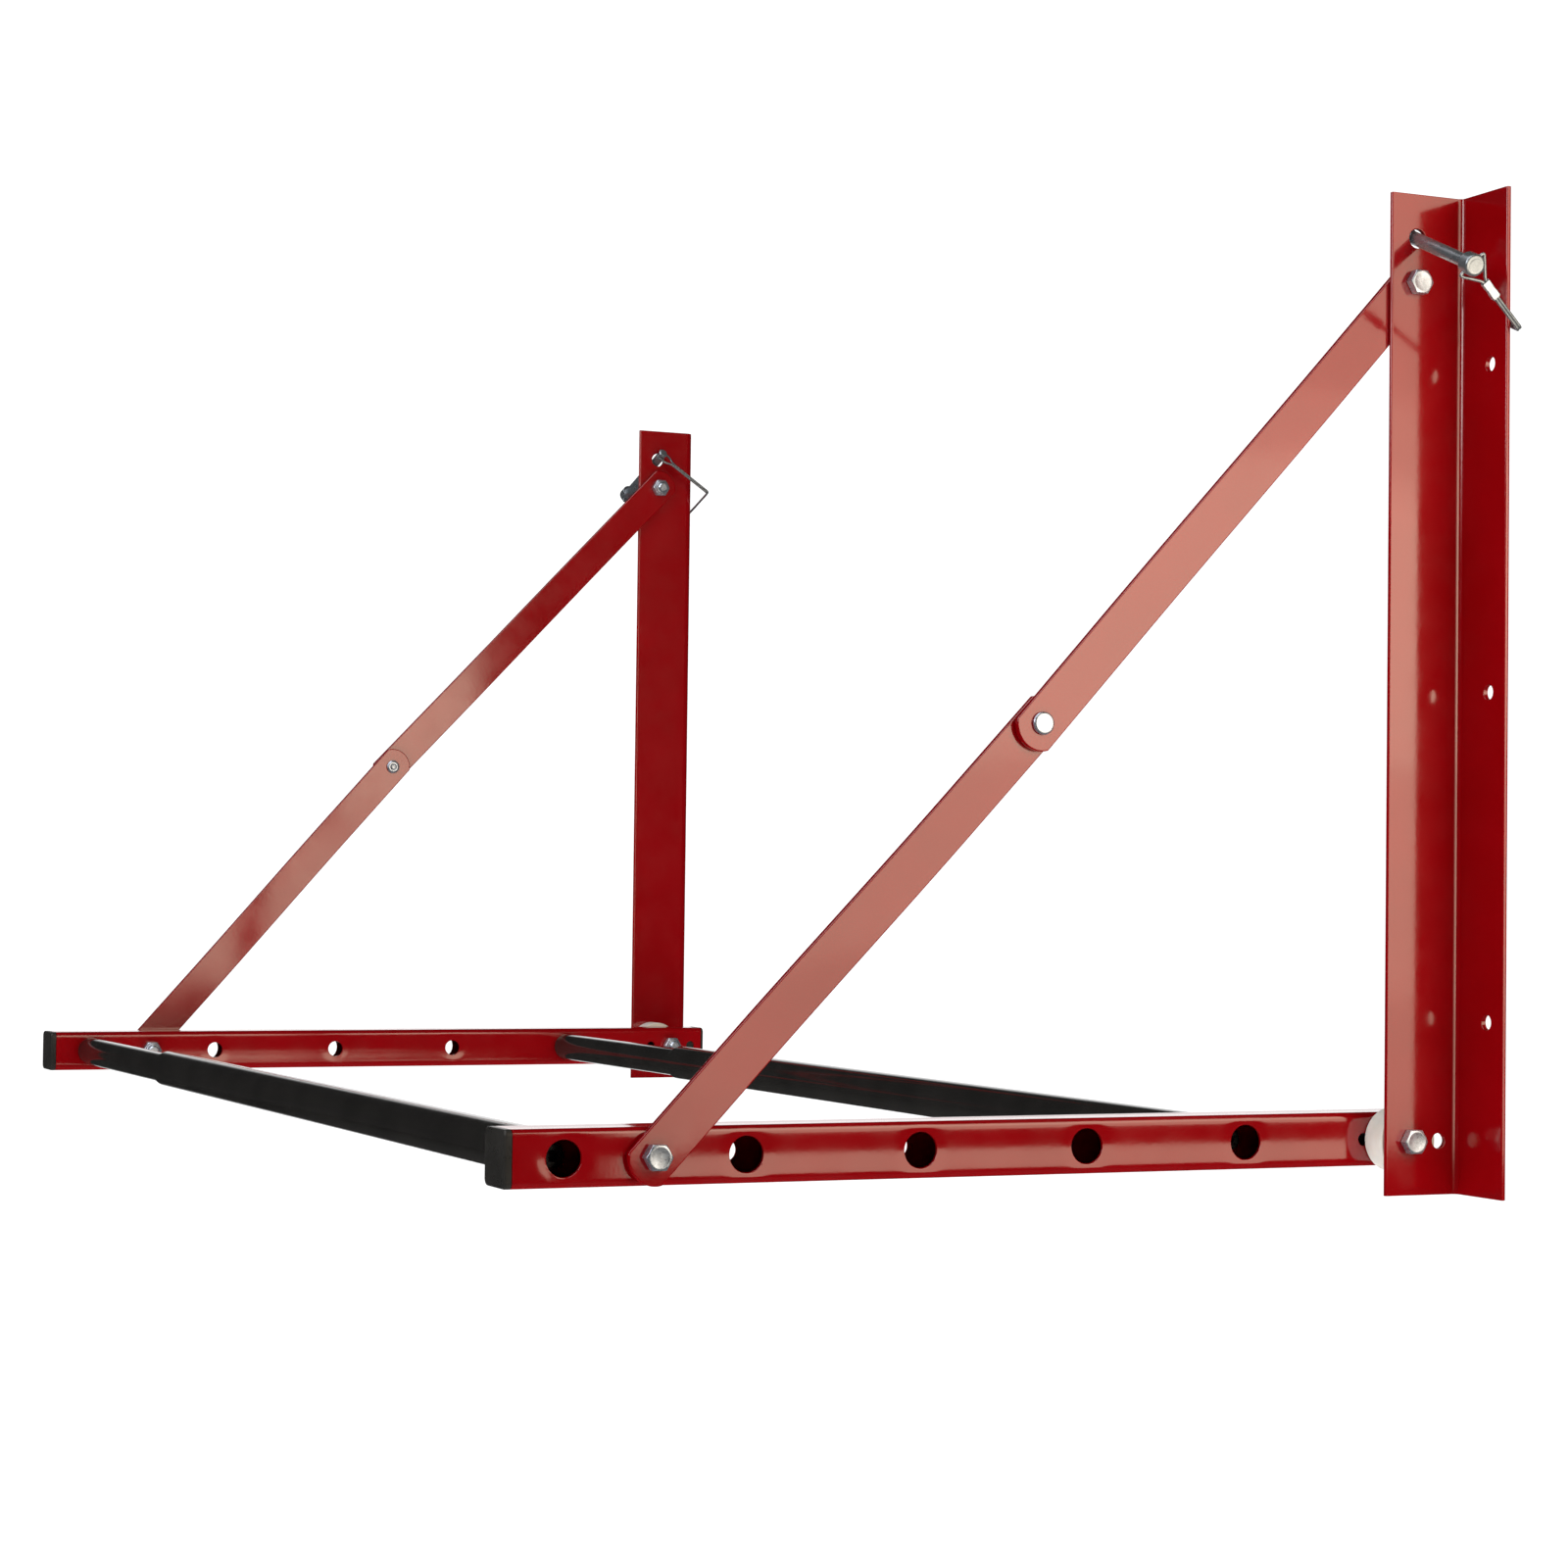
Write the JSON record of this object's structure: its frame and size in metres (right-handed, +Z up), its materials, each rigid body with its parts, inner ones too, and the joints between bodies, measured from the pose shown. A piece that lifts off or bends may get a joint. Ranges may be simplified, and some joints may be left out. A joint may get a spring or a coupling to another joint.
{
  "type": "folding wall rack",
  "caption": "Folding wall storage rack with hinged square-tube arms, jointed braces, telescopic crossbars and safety lock pins.",
  "frame": {"origin": "on the wall plane, half way between the two uprights, at the height of the arm pivots", "axes": "+X along the crossbars towards the upright with the thick tubes, +Y into the wall, +Z up; the arms stand out towards -Y"},
  "size_m": [1.2556, 0.5687, 0.56],
  "materials": {
    "red_paint": "glossy deep red powder coat",
    "black_paint": "high-gloss black paint",
    "zinc": "bright zinc plate",
    "steel": "plain bright steel",
    "black_oxide": "black oxide on steel",
    "nylon": "natural nylon",
    "black_plastic": "satin charcoal plastic"
  },
  "bodies": {
    "left_upright": {"left_upright": "red_paint", "left_pivot_spacer": "nylon", "left_pivot_bolt": "zinc", "left_pivot_nut": "zinc", "left_upper_brace_bolt": "zinc", "left_upper_brace_nut": "zinc", "left_lock_pin": "steel"},
    "left_arm": {"left_arm": "red_paint", "left_front_cap": "black_plastic", "left_rear_cap": "black_plastic", "left_lower_brace_bolt": "zinc", "left_lower_brace_nut": "zinc", "front_crossbar_inner_tube": "black_paint", "front_left_end_plug": "steel", "front_left_screw_washer": "zinc", "front_left_cap_screw": "black_oxide", "rear_crossbar_inner_tube": "black_paint", "rear_left_end_plug": "steel", "rear_left_screw_washer": "zinc", "rear_left_cap_screw": "black_oxide"},
    "left_upper_bar": {"left_upper_bar": "red_paint", "left_elbow_rivet": "zinc"},
    "left_lower_bar": {"left_lower_bar": "red_paint", "left_elbow_collar": "zinc"},
    "left_pin_bow": {"left_pin_bow": "steel", "left_bow_sleeve": "zinc"},
    "right_upright": {"right_upright": "red_paint", "right_pivot_spacer": "nylon", "right_pivot_bolt": "zinc", "right_pivot_nut": "zinc", "right_upper_brace_bolt": "zinc", "right_upper_brace_nut": "zinc", "right_lock_pin": "steel"},
    "right_arm": {"right_arm": "red_paint", "right_front_cap": "black_plastic", "right_rear_cap": "black_plastic", "right_lower_brace_bolt": "zinc", "right_lower_brace_nut": "zinc", "front_crossbar_outer_tube": "black_paint", "front_right_end_plug": "steel", "front_right_screw_washer": "zinc", "front_right_cap_screw": "black_oxide", "rear_crossbar_outer_tube": "black_paint", "rear_right_end_plug": "steel", "rear_right_screw_washer": "zinc", "rear_right_cap_screw": "black_oxide"},
    "right_upper_bar": {"right_upper_bar": "red_paint", "right_elbow_rivet": "zinc"},
    "right_lower_bar": {"right_lower_bar": "red_paint", "right_elbow_collar": "zinc"},
    "right_pin_bow": {"right_pin_bow": "steel", "right_bow_sleeve": "zinc"}
  },
  "joints": [
    {"name": "width_slide", "type": "slide", "parent": "left_upright", "child": "right_upright", "axis": [1, 0, 0], "range_m": [-0.24, 0.06]},
    {"name": "left_arm_fold", "type": "hinge", "parent": "left_upright", "child": "left_arm", "pos_m": [-0.545, -0.033, 0], "axis": [-1, 0, 0], "range_deg": [0, 90]},
    {"name": "left_upper_bar_swing", "type": "hinge", "parent": "left_upright", "child": "left_upper_bar", "pos_m": [-0.5597, -0.033, 0.48], "axis": [-1, 0, 0], "range_deg": [-43.97, 0]},
    {"name": "left_lower_bar_swing", "type": "hinge", "parent": "left_arm", "child": "left_lower_bar", "pos_m": [-0.5473, -0.48, 0], "axis": [-1, 0, 0], "range_deg": [0, 48.15]},
    {"name": "left_bow_swing", "type": "hinge", "parent": "left_upright", "child": "left_pin_bow", "pos_m": [-0.62133, -0.03704, 0.48099], "axis": [-0.3348, 0.6305, 0.7002], "range_deg": [0, 35]},
    {"name": "right_arm_fold", "type": "hinge", "parent": "right_upright", "child": "right_arm", "pos_m": [0.545, -0.033, 0], "axis": [-1, 0, 0], "range_deg": [0, 90]},
    {"name": "right_upper_bar_swing", "type": "hinge", "parent": "right_upright", "child": "right_upper_bar", "pos_m": [0.5597, -0.033, 0.48], "axis": [-1, 0, 0], "range_deg": [-42.47, 0]},
    {"name": "right_lower_bar_swing", "type": "hinge", "parent": "right_arm", "child": "right_lower_bar", "pos_m": [0.5473, -0.48, 0], "axis": [-1, 0, 0], "range_deg": [0, 46.5]},
    {"name": "right_bow_swing", "type": "hinge", "parent": "right_upright", "child": "right_pin_bow", "pos_m": [0.62133, -0.03704, 0.48099], "axis": [-0.3348, -0.6305, -0.7002], "range_deg": [0, 35]}
  ],
  "couplings": [
    {"joint": "left_upper_bar_swing", "follows": "left_arm_fold", "ratio": -0.48844},
    {"joint": "left_lower_bar_swing", "follows": "left_arm_fold", "ratio": 0.53492},
    {"joint": "right_arm_fold", "follows": "left_arm_fold", "ratio": 1},
    {"joint": "right_upper_bar_swing", "follows": "left_arm_fold", "ratio": -0.4718},
    {"joint": "right_lower_bar_swing", "follows": "left_arm_fold", "ratio": 0.51652}
  ]
}
